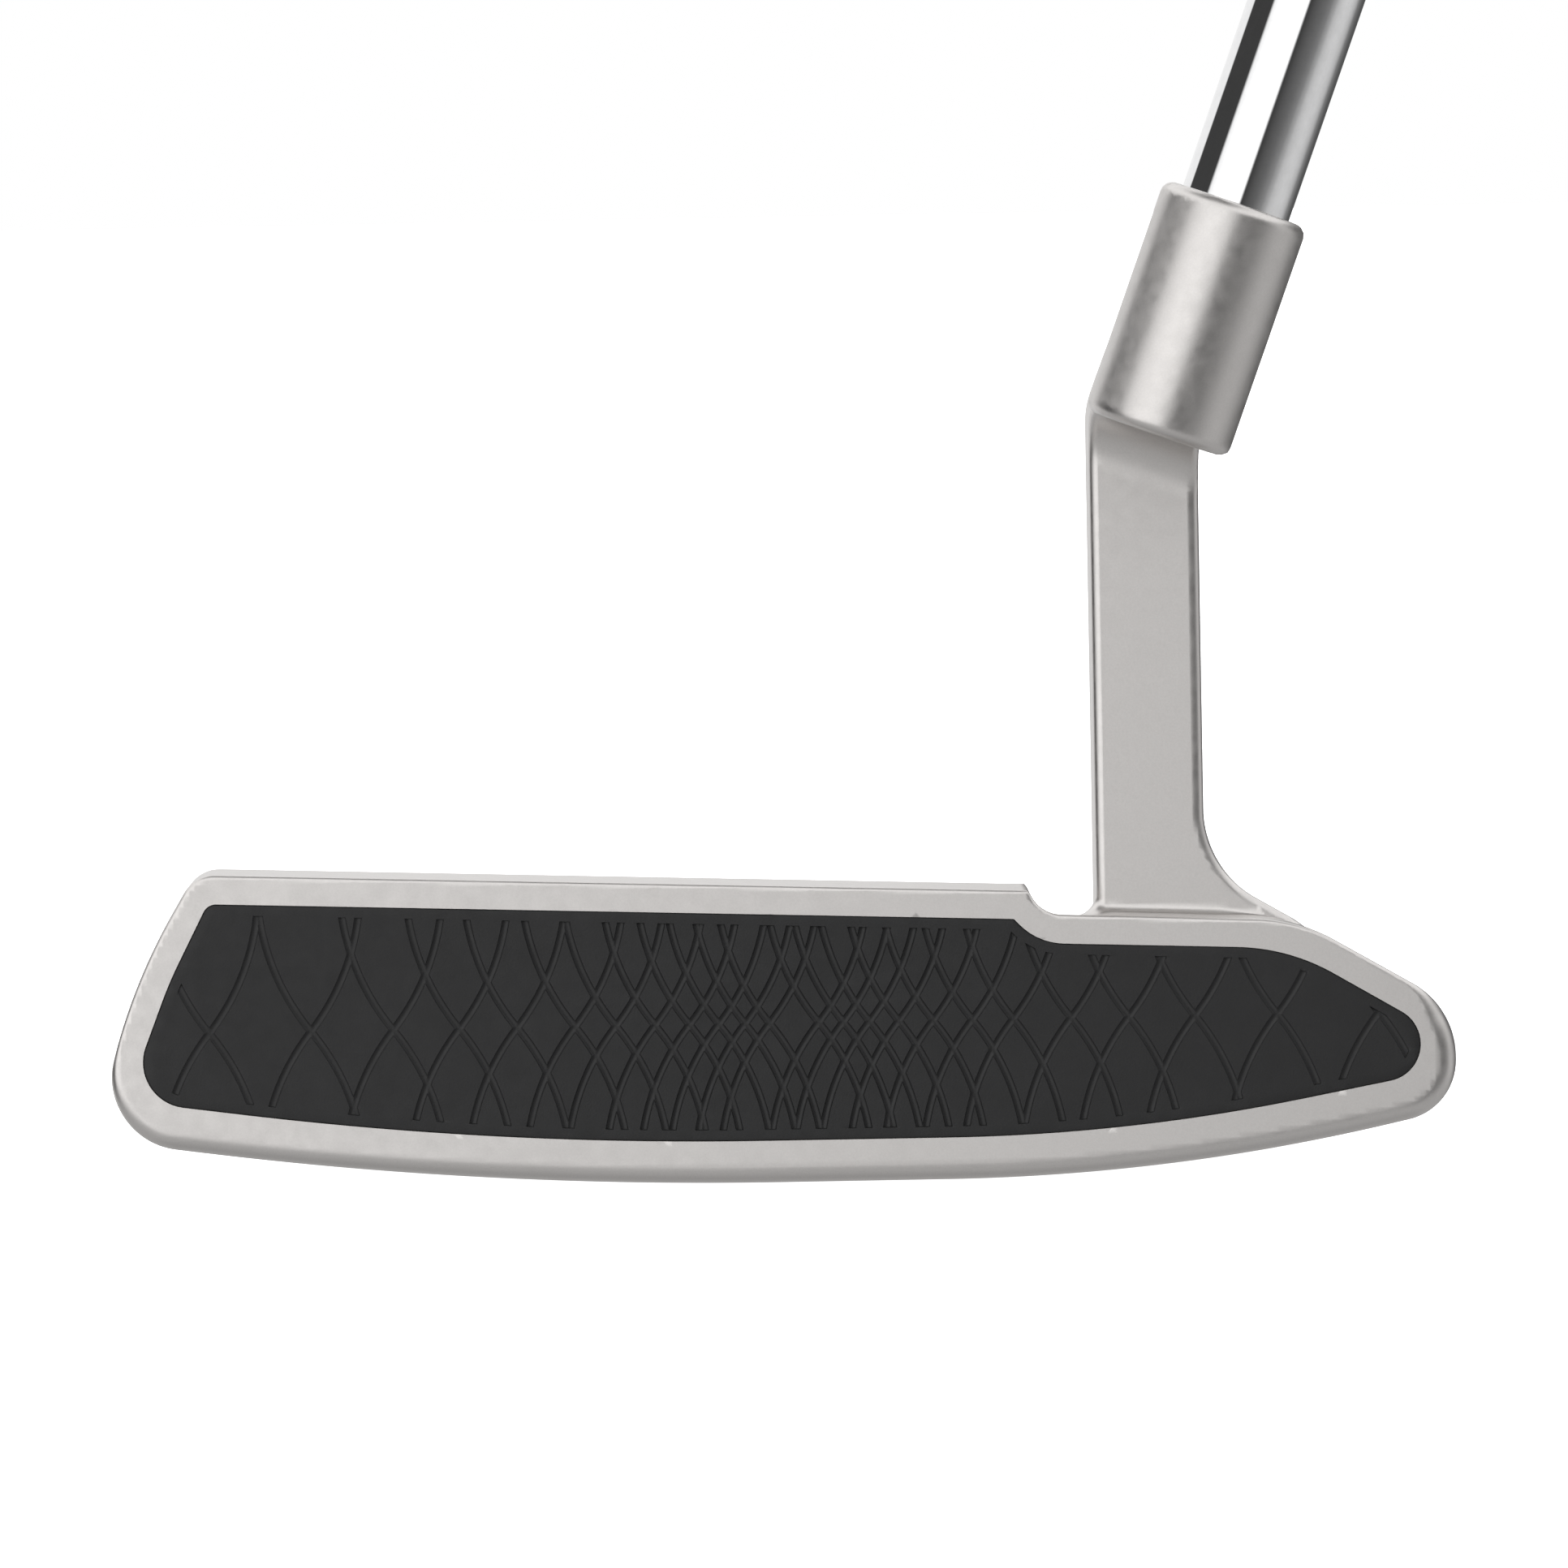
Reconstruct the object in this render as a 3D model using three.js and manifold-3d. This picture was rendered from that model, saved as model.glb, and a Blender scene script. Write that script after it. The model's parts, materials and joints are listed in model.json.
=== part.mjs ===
// Heel-toe weighted blade putter, right-handed, with a plumber's-neck hosel, a grooved face insert
// and a shaft whose length is set by a lead screw hidden in the grip.
//
// Units are millimetres, +Z is up. The club stands at address: the ball is struck towards -Y, the toe
// points to -X and the shaft leans towards +X. The origin is the middle of the flat on the sole, below
// the point where the shaft's axis meets the ground.
//
// Head outlines are drawn as seen from the front, in blade coordinates: x runs from the middle of the
// blade to the heel, z is the height over the ground, and y is the depth behind the leading edge.
// The shaft and the grip are turned about the shaft's axis, with stations counted along that axis from
// the ground, so the top of the grip lies at the club's length.

import * as THREE from 'three';
import { mergeVertices } from 'three/addons/utils/BufferGeometryUtils.js';
import Module from 'manifold-3d';

const wasm = await Module();
wasm.setup();

// ---------------------------------------------------------------------------------------------------
// Driving dimensions
// ---------------------------------------------------------------------------------------------------

const GAP = 0.3;                    // film of glue or free play between touching pieces
const DEG = Math.PI / 180;

// The club
const clubLength = 889;             // 35 in, measured along the shaft's axis from the ground
const lieAngle = 70;                // shaft to ground, degrees
const loftAngle = 3;                // face to vertical, degrees
const shaftAxisX = 9.3;             // where the axis meets the ground, from the middle of the blade
const shaftForward = 4.7;           // the axis runs this far in front of the leading edge
const soleFlatBack = 11;            // leading edge to the middle of the sole's flat

// The head
const toplineThickness = 7.5;
const headDepth = 27;
const faceBevel = 0.4;
const neckLeft = 27.3;
const neckRight = 36.7;
const neckFront = 4.5;
const neckBack = 13.0;
const crankTop = 73;
const barrelRadius = 6.35;
const barrelBottom = 67.9;          // stations along the shaft's axis
const barrelTop = 88.4;
const barrelEdge = 1;
const boreBottom = 71.3;
const weightInner = 31;             // the weights' inner sides, from the middle of the blade
const sightLineWidth = 1.2;

// The insert, from the face backwards
const insertRecess = 0.1;
const insertFrontThickness = 2.4;
const insertBackingThickness = 2.0;
const insertTapeThickness = 0.3;
const pocketDepth = insertRecess + insertFrontThickness + insertBackingThickness
  + insertTapeThickness + 3 * GAP;

// The lower shaft
const tipRadius = 4.7;              // 9.4 mm parallel tip
const shaftRadius = 6.35;           // 12.7 mm where it slides in the grip
const shaftWall = 0.9;
const tipEnd = boreBottom + GAP;
const taperStart = 236;
const taperEnd = 530;
const shaftTop = 760;

// The length adjuster
const shortening = 76.2;            // 35 in down to 32 in
const lengthening = 25.4;           // 35 in up to 36 in
const screwRadius = 4.0;
const screwGrooveRadius = 3.2;
const screwEnd = 700;
const nutBottom = 745;
const nutFlangeThickness = 6;
const nutRingGroove = 1.2;          // depth of the groove for the rattle ring
const keyStation = 724;
const keyRadius = 1.3;
const runningGap = 0.15;
const squeeze = 0.1;                // a rubber ring stays this far clear of the wall it runs on

// The upper tube and the grip
const gripLength = 270;
const tubeMouth = clubLength - gripLength + 2;
const tubeTop = clubLength - 6;
const tubeInnerRadius = 7.6;
const tubeRadius = 8.3;
const guideLength = 26;
const guideFlange = 2.5;
const bushingBottom = 855.5;
const bushingTop = 869.5;
const washerThickness = 0.8;
const washerRadius = 6.6;
const lowerWasherBottom = bushingBottom - GAP - washerThickness;
const upperWasherBottom = bushingTop + GAP;
const clipThickness = 1;
const endStopThickness = 3;
const clipPlay = 2 * GAP;           // a groove is this much wider than its clip
const clipGroove = lowerWasherBottom - clipThickness - clipPlay;
const endStopGroove = screwEnd + 3;
const stopSleeveRadius = 6.2;
const stopSleeveBottom = shaftTop + nutFlangeThickness + shortening + 2 * GAP;
const screwHeadRadius = 6.0;
const screwHeadHeight = 4.5;
const hexAcrossFlats = 4.0;
const hexDepth = 3.2;
const chamfer = 0.5;
const tapeInner = tubeRadius + GAP;
const tapeOuter = tapeInner + 0.3;
const sleeveBore = tapeOuter + GAP;
const toolHoleRadius = 2.4;

// ---------------------------------------------------------------------------------------------------
// Solids and booleans
// ---------------------------------------------------------------------------------------------------

function toSolid(geometry) {
  const source = geometry.clone();
  source.deleteAttribute('normal');
  source.deleteAttribute('uv');
  const merged = mergeVertices(source, 1e-4);
  return new wasm.Manifold(new wasm.Mesh({
    numProp: 3,
    vertProperties: new Float32Array(merged.attributes.position.array),
    triVerts: new Uint32Array(merged.index.array),
  }));
}

function toGeometry(solid) {
  const mesh = solid.getMesh();
  const geometry = new THREE.BufferGeometry();
  geometry.setAttribute('position', new THREE.BufferAttribute(mesh.vertProperties, 3));
  geometry.setIndex(new THREE.BufferAttribute(mesh.triVerts, 1));
  geometry.computeVertexNormals();
  return geometry;
}

function join(...geometries) {
  const solids = geometries.map(toSolid);
  return toGeometry(solids.reduce((sum, next) => sum.add(next)));
}

function cut(geometry, ...tools) {
  const solids = tools.map(toSolid);
  return toGeometry(solids.reduce((rest, tool) => rest.subtract(tool), toSolid(geometry)));
}

function common(...geometries) {
  const solids = geometries.map(toSolid);
  return toGeometry(solids.reduce((rest, next) => rest.intersect(next)));
}

// ---------------------------------------------------------------------------------------------------
// Outlines
// ---------------------------------------------------------------------------------------------------

// A closed outline from its corners [x, y, radius], each rounded by an arc that meets both sides.
function roundedOutline(corners, degreesPerStep = 12, longestStep = 9) {
  const points = [];
  corners.forEach(([x, y, radius = 0], i) => {
    const here = new THREE.Vector2(x, y);
    const before = corners[(i + corners.length - 1) % corners.length];
    const after = corners[(i + 1) % corners.length];
    const back = new THREE.Vector2(before[0], before[1]).sub(here).normalize();
    const on = new THREE.Vector2(after[0], after[1]).sub(here).normalize();
    const half = Math.acos(THREE.MathUtils.clamp(back.dot(on), -1, 1)) / 2;
    if (radius === 0 || half > 89.9 * DEG) {
      points.push(here);
      return;
    }
    const turn = Math.PI - 2 * half;
    const centre = back.clone().add(on).normalize().multiplyScalar(radius / Math.sin(half)).add(here);
    const start = back.clone().multiplyScalar(radius / Math.tan(half)).add(here).sub(centre);
    const side = Math.sign(back.cross(on)) * -1;
    const steps = Math.ceil(Math.max(turn / (degreesPerStep * DEG), turn * radius / longestStep));
    for (let k = 0; k <= steps; k += 1) {
      const point = start.clone().rotateAround(new THREE.Vector2(), side * turn * k / steps);
      points.push(point.add(centre));
    }
  });
  return new THREE.Shape(points);
}

// The blade's outline from the front: sole, toe, topline, notch, heel. The topline ends in a notch
// beside the neck, and the heel falls away from the neck at 30 degrees to a round nose.
const bladeOutline = [
  [-25.5, 0, 360],
  [-59.1, 4.7, 6.2],
  [-55.4, 18.2, 50],
  [-50.0, 27.35, 3],
  [21.35, 24.75, 0.5],
  [22.3, 22.75, 3],
  [44.4, 21.8, 15],
  [68.5, 7.85, 6.25],
  [33.2, 0, 180],
];

const insertOutline = [
  [-24.0, 3.75, 330],
  [-56.2, 8.15, 3.9],
  [-52.3, 18.2, 36],
  [-48.9, 24.85, 1.2],
  [20.05, 22.35, 0.3],
  [22.05, 20.25, 5.5],
  [43.5, 19.45, 17.5],
  [60.5, 9.5, 3.2],
  [29.6, 3.75, 166],
];

// ---------------------------------------------------------------------------------------------------
// Shapes
// ---------------------------------------------------------------------------------------------------

// A front-view outline pushed backwards from y0 to y1, with an optional bevel round its front edge.
function slab(shape, y0, y1, bevel = 0) {
  const geometry = new THREE.ExtrudeGeometry(shape, {
    depth: y1 - y0 - 2 * bevel,
    bevelEnabled: bevel > 0,
    bevelThickness: bevel,
    bevelSize: bevel,
    bevelOffset: -bevel,
    bevelSegments: 1,
  });
  geometry.rotateX(Math.PI / 2);
  geometry.translate(0, y1 - bevel, 0);
  return geometry;
}

// A plan outline (x, y) pushed up from z0 to z1.
function column(shape, z0, z1) {
  const geometry = new THREE.ExtrudeGeometry(shape, { depth: z1 - z0, bevelEnabled: false });
  geometry.translate(0, 0, z0);
  return geometry;
}

// A side-view profile (y, z) pushed along x from x0 to x1.
function beam(shape, x0, x1) {
  const geometry = new THREE.ExtrudeGeometry(shape, { depth: x1 - x0, bevelEnabled: false });
  geometry.rotateY(Math.PI / 2);
  geometry.rotateX(Math.PI / 2);
  geometry.translate(x0, 0, 0);
  return geometry;
}

// A body turned about +Z from a closed profile of [radius, station].
function turned(profile, segments = 32) {
  const closed = [...profile, profile[0]].map(([r, s]) => new THREE.Vector2(r, s));
  const geometry = new THREE.LatheGeometry(closed, segments);
  geometry.rotateX(Math.PI / 2);
  return facingOut(geometry);
}

// Turns a closed shape's faces outwards, whichever way its profile was drawn.
function facingOut(geometry) {
  const solid = geometry.toNonIndexed();
  const p = solid.attributes.position;
  const [a, b, c] = [new THREE.Vector3(), new THREE.Vector3(), new THREE.Vector3()];
  let volume = 0;
  for (let i = 0; i < p.count; i += 3) {
    a.fromBufferAttribute(p, i);
    b.fromBufferAttribute(p, i + 1);
    c.fromBufferAttribute(p, i + 2);
    volume += a.dot(b.cross(c));
  }
  if (volume < 0) {
    geometry.index.array.reverse();
  }
  return geometry;
}

function tube(innerRadius, outerRadius, s0, s1, segments = 32) {
  return turned([[innerRadius, s0], [outerRadius, s0], [outerRadius, s1], [innerRadius, s1]], segments);
}

function rod(radius, s0, s1, segments = 32) {
  const geometry = new THREE.CylinderGeometry(radius, radius, s1 - s0, segments);
  geometry.rotateX(Math.PI / 2);
  geometry.translate(0, 0, (s0 + s1) / 2);
  return geometry;
}

// From stations along the shaft's axis to blade coordinates.
function ontoShaftAxis(geometry) {
  geometry.rotateY((90 - lieAngle) * DEG);
  geometry.translate(shaftAxisX, -shaftForward, 0);
  return geometry;
}

// Leans a head piece back by the loft while its sole stays level.
function lofted(geometry) {
  const lean = new THREE.Matrix4().makeShear(0, 0, 0, 0, 0, Math.tan(loftAngle * DEG));
  geometry.applyMatrix4(lean);
  return geometry;
}

// ---------------------------------------------------------------------------------------------------
// The head
// ---------------------------------------------------------------------------------------------------

const bladeShape = roundedOutline(bladeOutline, 9);

// Seen from above: a straight face, rounded back corners and a slightly bowed back edge.
function planShape() {
  return roundedOutline([
    [-60, -1, 0],
    [60, -1, 0],
    [60, headDepth - 2, 17],
    [0, headDepth + 0.7, 220],
    [-60, headDepth - 2, 17],
  ], 10);
}

// The sole plate behind the face, low in the middle of the head.
function soleFlange() {
  const profile = roundedOutline([
    [2, 0, 0],
    [22, 0, 12],
    [headDepth + 0.5, 1.6, 2],
    [headDepth + 0.5, 5.6, 2],
    [6, 9.8, 0],
    [2, 9.8, 0],
  ]);
  return beam(profile, -62, 62);
}

// A raised weight at the toe or the heel, stepped down towards the back. Its inner side has draft.
function weightBlock(inner, outer) {
  const profile = roundedOutline([
    [2, 0, 0],
    [22, 0, 12],
    [headDepth + 0.5, 1.6, 2],
    [headDepth + 0.5, 9, 3],
    [17.5, 11.8, 3],
    [12, 19.0, 3],
    [2, 20.0, 0],
  ]);
  const draft = 3 * Math.sign(outer);
  const sides = roundedOutline([[inner, -1], [outer, -1], [outer, 24], [inner + draft, 24]]);
  return common(beam(profile, -62, 62), slab(sides, -1, headDepth + 5));
}

// The upright bar with its flared foot on the heel side. At its top it cranks forward to the barrel,
// and from there its sides lean with the shaft, hidden behind the barrel. The crank's underside is
// square to the shaft's axis, just above the barrel's lower end.
function neckBar() {
  const lean = Math.tan((90 - lieAngle) * DEG);
  const bend = 63;
  const front = roundedOutline([
    [neckLeft, 18, 0],
    [48, 18, 0],
    [47.5, 19.67, 0],
    [neckRight, 25.9, 8.7],
    [neckRight, bend, 8],
    [neckRight + lean * (crankTop - bend), crankTop - 1.5, 2],
    [neckLeft + 0.6 + lean * (crankTop - bend - 2.5), crankTop + 1.5, 2],
    [neckLeft, bend + 2.5, 8],
  ]);
  const middle = (neckLeft + neckRight) / 2;
  const height = barrelBottom / Math.cos((90 - lieAngle) * DEG) - (middle - shaftAxisX) * lean + 0.4;
  const side = roundedOutline([
    [neckFront, 12, 0],
    [neckBack, 12, 0],
    [neckBack, crankTop + 2, 9],
    [-shaftForward, crankTop + 2, 0],
    [-shaftForward, height, 0],
    [neckFront, height, 5],
  ]);
  const crank = beam(side, neckLeft - 5, neckRight + 15);
  crank.translate(-middle, 0, 0);
  crank.applyMatrix4(new THREE.Matrix4().makeShear(0, -lean, 0, 0, 0, 0));
  crank.translate(middle, 0, 0);
  return common(slab(front, -20, 30), crank);
}

function hoselBarrel() {
  const rounded = roundedOutline([
    [0, barrelBottom, 0],
    [barrelRadius, barrelBottom, barrelEdge],
    [barrelRadius, barrelTop, barrelEdge],
    [0, barrelTop, 0],
  ], 30);
  const profile = rounded.getPoints().map((p) => [Math.abs(p.x), p.y]);
  return ontoShaftAxis(turned(profile, 40));
}

function headCasting() {
  const plan = column(planShape(), -1, 30);
  const wall = common(slab(bladeShape, 0, toplineThickness, faceBevel), plan);
  const full = slab(bladeShape, 0.6, headDepth + 8);
  const flange = common(plan, soleFlange(), full);
  const toeBlock = common(plan, weightBlock(-weightInner, -62), full);
  const heelBlock = common(plan, weightBlock(weightInner, 62), full);
  const pocket = slab(roundedOutline(insertOutline, 12), -1, pocketDepth);
  const sightProfile = roundedOutline([[11.5, 8.2], [30, 4.25], [30, 14], [11.5, 14]]);
  const sightCut = beam(sightProfile, -sightLineWidth / 2, sightLineWidth / 2);
  const blade = cut(join(wall, flange, toeBlock, heelBlock, neckBar()), pocket, sightCut);
  const bore = ontoShaftAxis(rod(tipRadius + GAP, boreBottom, barrelTop + 5));
  return cut(join(lofted(blade), hoselBarrel()), bore);
}

// A layer of the insert: its outline keeps a gap to the pocket's wall.
function insertLayer(depth, thickness) {
  const scaleX = 1 - 2 * GAP / 108.7;
  const scaleZ = 1 - 2 * GAP / 21;
  const corners = insertOutline.map(([x, z, r]) => [x * scaleX, 13.9 + (z - 13.9) * scaleZ, r]);
  return lofted(slab(roundedOutline(corners, 12), depth, depth + thickness));
}

// ---------------------------------------------------------------------------------------------------
// The shaft and the length adjuster, in stations along the shaft's axis
// ---------------------------------------------------------------------------------------------------

function lowerShaft() {
  const bore = (radius) => radius - shaftWall;
  const body = turned([
    [bore(tipRadius), tipEnd],
    [tipRadius - chamfer / 2, tipEnd],
    [tipRadius, tipEnd + chamfer],
    [tipRadius, taperStart],
    [shaftRadius, taperEnd],
    [shaftRadius, shaftTop],
    [bore(shaftRadius), shaftTop],
    [bore(shaftRadius), taperEnd],
    [bore(tipRadius), taperStart],
  ], 36);
  const slotWidth = 2 * (keyRadius + 0.2);
  const slotStart = keyStation - shortening - 2.5;
  const slotEnd = keyStation + lengthening + 2.5;
  const slot = new THREE.BoxGeometry(slotWidth, 10, slotEnd - slotStart);
  slot.translate(0, shaftRadius, (slotStart + slotEnd) / 2);
  return cut(body, slot);
}

// The nut sits in the shaft's end and its flange guides the shaft in the upper tube.
function driveNut() {
  const inner = screwRadius + runningGap;
  const body = shaftRadius - shaftWall - GAP;
  const flange = tubeInnerRadius - runningGap;
  const s0 = shaftTop + GAP;
  const s1 = s0 + nutFlangeThickness;
  const land = 1.8;
  return turned([
    [inner, nutBottom],
    [body - chamfer, nutBottom],
    [body, nutBottom + chamfer],
    [body, s0],
    [flange, s0],
    [flange, s0 + land],
    [flange - nutRingGroove, s0 + land],
    [flange - nutRingGroove, s1 - land],
    [flange, s1 - land],
    [flange, s1],
    [inner, s1],
  ]);
}

// A rubber ring in the groove of the nut's flange keeps the shaft from rattling.
function rattleRing() {
  const thickness = 0.35;
  const middle = shaftTop + GAP + nutFlangeThickness / 2;
  return ring(tubeInnerRadius - squeeze - thickness, thickness, middle);
}

function ring(radius, thickness, station) {
  const geometry = new THREE.TorusGeometry(radius, thickness, 8, 32);
  geometry.translate(0, 0, station);
  return geometry;
}

function keyPin() {
  const inner = shaftRadius - shaftWall + runningGap;
  const geometry = rod(keyRadius, inner, tubeRadius - 0.1, 16);
  geometry.rotateX(-Math.PI / 2);
  geometry.translate(0, 0, keyStation);
  return geometry;
}

function upperTube() {
  const body = tube(tubeInnerRadius, tubeRadius, tubeMouth, tubeTop, 36);
  const keyHole = rod(keyRadius + GAP, 0, 12, 16);
  keyHole.rotateX(-Math.PI / 2);
  keyHole.translate(0, 0, keyStation);
  return cut(body, keyHole);
}

// A flanged plastic bush in the upper tube's mouth, with a groove for the wiper ring.
function guideBushing() {
  const inner = shaftRadius + runningGap;
  const outer = tubeInnerRadius - GAP;
  const grooveBottom = tubeMouth - 0.4;
  const grooveTop = tubeMouth + 1.2;
  const grooveDepth = 0.6;
  return turned([
    [inner, tubeMouth - GAP - guideFlange],
    [tubeRadius, tubeMouth - GAP - guideFlange],
    [tubeRadius, tubeMouth - GAP],
    [outer, tubeMouth - GAP],
    [outer, tubeMouth + guideLength],
    [inner, tubeMouth + guideLength],
    [inner, grooveTop],
    [inner + grooveDepth, grooveTop],
    [inner + grooveDepth, grooveBottom],
    [inner, grooveBottom],
  ]);
}

function wiperRing() {
  const thickness = 0.28;
  return ring(shaftRadius + squeeze + thickness, thickness, tubeMouth + 0.4);
}

function leadScrew() {
  const headBottom = upperWasherBottom + washerThickness + GAP;
  const headTop = headBottom + screwHeadHeight;
  const endStopGrooveTop = endStopGroove + endStopThickness + clipPlay;
  const clipGrooveTop = clipGroove + clipThickness + clipPlay;
  const body = turned([
    [0, screwEnd],
    [screwRadius - chamfer, screwEnd],
    [screwRadius, screwEnd + chamfer],
    [screwRadius, endStopGroove],
    [screwGrooveRadius, endStopGroove],
    [screwGrooveRadius, endStopGrooveTop],
    [screwRadius, endStopGrooveTop],
    [screwRadius, clipGroove],
    [screwGrooveRadius, clipGroove],
    [screwGrooveRadius, clipGrooveTop],
    [screwRadius, clipGrooveTop],
    [screwRadius, headBottom],
    [screwHeadRadius, headBottom],
    [screwHeadRadius, headTop - chamfer],
    [screwHeadRadius - chamfer, headTop],
    [0, headTop],
  ]);
  const hexRadius = hexAcrossFlats / 2 / Math.cos(30 * DEG);
  const socket = rod(hexRadius, headTop - hexDepth, headTop + 1, 6);
  return cut(body, socket);
}

function washer(s0) {
  return tube(screwRadius + GAP, washerRadius, s0, s0 + washerThickness);
}

function screwBushing() {
  return tube(screwRadius + runningGap, tubeInnerRadius - GAP, bushingBottom, bushingTop);
}

// An open retaining ring: three quarters of a washer, sprung into a groove of the screw.
function openClip(s0, thickness, outerRadius) {
  const opening = 40 * DEG;
  const shape = new THREE.Shape();
  shape.absarc(0, 0, outerRadius, opening, 2 * Math.PI - opening, false);
  shape.absarc(0, 0, screwGrooveRadius + GAP, 2 * Math.PI - opening, opening, true);
  const geometry = new THREE.ExtrudeGeometry(shape, {
    depth: thickness, bevelEnabled: false, curveSegments: 20,
  });
  geometry.translate(0, 0, s0);
  return geometry;
}

// ---------------------------------------------------------------------------------------------------
// The grip
// ---------------------------------------------------------------------------------------------------

// The sleeve's section is round with a flat for the thumbs on its -X side. Towards the butt it
// deepens on the +X side into a pistol shape.
function gripSection(t, sides) {
  const smooth = (a, b, v) => {
    const u = THREE.MathUtils.clamp((v - a) / (b - a), 0, 1);
    return u * u * (3 - 2 * u);
  };
  const side = 10.3 + 2.4 * smooth(0.1, 0.95, t);
  const pistol = 6.2 * smooth(0.55, 0.93, t) - 1.6 * smooth(0.95, 1, t);
  const back = 10.3 + 1.2 * smooth(0.05, 0.5, t) + pistol;
  const flat = 10.0 + 0.9 * smooth(0.05, 0.9, t);
  const points = [];
  for (let k = 0; k < sides; k += 1) {
    const a = 2 * Math.PI * k / sides;
    const c = Math.cos(a);
    const s = Math.sin(a);
    const deep = c > 0 ? back : side;
    const x = Math.max(deep * Math.sign(c) * Math.abs(c) ** 0.9, -flat);
    points.push(new THREE.Vector2(x, side * Math.sign(s) * Math.abs(s) ** 0.95));
  }
  return points;
}

function gripSleeve() {
  const sides = 32;
  const stations = 18;
  const bottom = clubLength - gripLength - 2.5;
  const top = clubLength - 2.5;
  const positions = [];
  for (let j = 0; j <= stations; j += 1) {
    const t = j / stations;
    const s = bottom + (top - bottom) * t;
    for (const p of gripSection(t, sides)) {
      positions.push(p.x, p.y, s);
    }
  }
  positions.push(0, 0, bottom, 0, 0, top);
  const low = sides * (stations + 1);
  const high = low + 1;
  const index = [];
  for (let k = 0; k < sides; k += 1) {
    const next = (k + 1) % sides;
    for (let j = 0; j < stations; j += 1) {
      const a = j * sides + k;
      const b = j * sides + next;
      index.push(a, b, b + sides, a, b + sides, a + sides);
    }
    index.push(low, next, k);
    index.push(high, stations * sides + k, stations * sides + next);
  }
  const outer = new THREE.BufferGeometry();
  outer.setAttribute('position', new THREE.Float32BufferAttribute(positions, 3));
  outer.setIndex(index);
  const mouthSeat = rod(sleeveBore + 0.2, bottom - 1, bottom + 3);
  const capSeat = rod(sleeveBore, bottom - 1, top + 1);
  return cut(outer, mouthSeat, capSeat);
}

// The hard cap in the butt end, with the hole that the length tool goes through.
function buttCap() {
  const rim = tubeInnerRadius - GAP;
  const face = sleeveBore + 1.6;
  return turned([
    [toolHoleRadius, clubLength - 12],
    [rim, clubLength - 12],
    [rim, clubLength - 5.7],
    [sleeveBore - GAP, clubLength - 5.7],
    [sleeveBore - GAP, clubLength - 2.5 + GAP],
    [face, clubLength - 2.5 + GAP],
    [face, clubLength - 0.8],
    [face - 0.8, clubLength],
    [toolHoleRadius, clubLength],
  ]);
}

// ---------------------------------------------------------------------------------------------------
// Materials and assembly
// ---------------------------------------------------------------------------------------------------

function finish(color, roughness, metalness) {
  return new THREE.MeshStandardMaterial({ color, roughness, metalness });
}

const satinSteel = finish(0xcbc7c5, 0.42, 1);
const chrome = finish(0xe6e6e8, 0.08, 1);
const plainSteel = finish(0xa9abad, 0.35, 1);
const blackElastomer = finish(0x2e2e2f, 0.62, 0);
const firmElastomer = finish(0x4a4c50, 0.55, 0);
const tapeFilm = finish(0xd8cfae, 0.8, 0);
const brass = finish(0xb9974f, 0.35, 1);
const whiteAcetal = finish(0xe4e2da, 0.5, 0);
const gripRubber = finish(0x232325, 0.8, 0);
const capPlastic = finish(0x1b1b1c, 0.45, 0);
const seal = finish(0x151515, 0.7, 0);

const head = new THREE.Group();
head.position.set(-shaftAxisX, -soleFlatBack, 0);

const club = new THREE.Group();
club.position.set(0, -soleFlatBack - shaftForward, 0);
club.rotation.y = (90 - lieAngle) * DEG;

const putter = new THREE.Group();
putter.add(head, club);

function place(group, name, geometry, material) {
  const mesh = new THREE.Mesh(geometry, material);
  mesh.name = name;
  group.add(mesh);
}

const frontDepth = insertRecess;
const backingDepth = frontDepth + insertFrontThickness + GAP;
const tapeDepth = backingDepth + insertBackingThickness + GAP;
place(head, 'head_casting', headCasting(), satinSteel);
place(head, 'face_insert', insertLayer(frontDepth, insertFrontThickness), blackElastomer);
place(head, 'insert_backing', insertLayer(backingDepth, insertBackingThickness), firmElastomer);
place(head, 'insert_bond_tape', insertLayer(tapeDepth, insertTapeThickness), tapeFilm);

place(club, 'lower_shaft', lowerShaft(), chrome);
place(club, 'drive_nut', driveNut(), brass);
place(club, 'rattle_ring', rattleRing(), seal);

const endStopRadius = shaftRadius - shaftWall - 0.4;
place(club, 'lead_screw', leadScrew(), plainSteel);
place(club, 'screw_end_stop',
  openClip(endStopGroove + clipPlay / 2, endStopThickness, endStopRadius), plainSteel);
place(club, 'retaining_clip',
  openClip(clipGroove + clipPlay / 2, clipThickness, washerRadius), plainSteel);

const clearOfScrew = screwRadius + GAP;
place(club, 'lower_thrust_washer', washer(lowerWasherBottom), brass);
place(club, 'upper_thrust_washer', washer(upperWasherBottom), brass);
place(club, 'upper_stop_sleeve',
  tube(clearOfScrew, stopSleeveRadius, stopSleeveBottom, clipGroove - GAP), whiteAcetal);
place(club, 'screw_bushing', screwBushing(), whiteAcetal);
place(club, 'guide_bushing', guideBushing(), whiteAcetal);
place(club, 'wiper_ring', wiperRing(), seal);
place(club, 'key_pin', keyPin(), plainSteel);
place(club, 'upper_tube', upperTube(), plainSteel);
place(club, 'grip_tape', tube(tapeInner, tapeOuter, tubeMouth + 2, tubeTop - 2, 36), tapeFilm);
place(club, 'grip_sleeve', gripSleeve(), gripRubber);
place(club, 'butt_cap', buttCap(), capPlastic);

export default putter;
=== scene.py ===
"""Blade putter with a plumber's neck, a grooved face insert and a pistol grip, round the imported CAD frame.

Shapes are worked out in millimetres in blade coordinates, as in the CAD source: x from the middle of the
blade to the heel, y behind the leading edge, z over the ground. They are moved to the frame at the end.
"""
import json
import math

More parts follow.
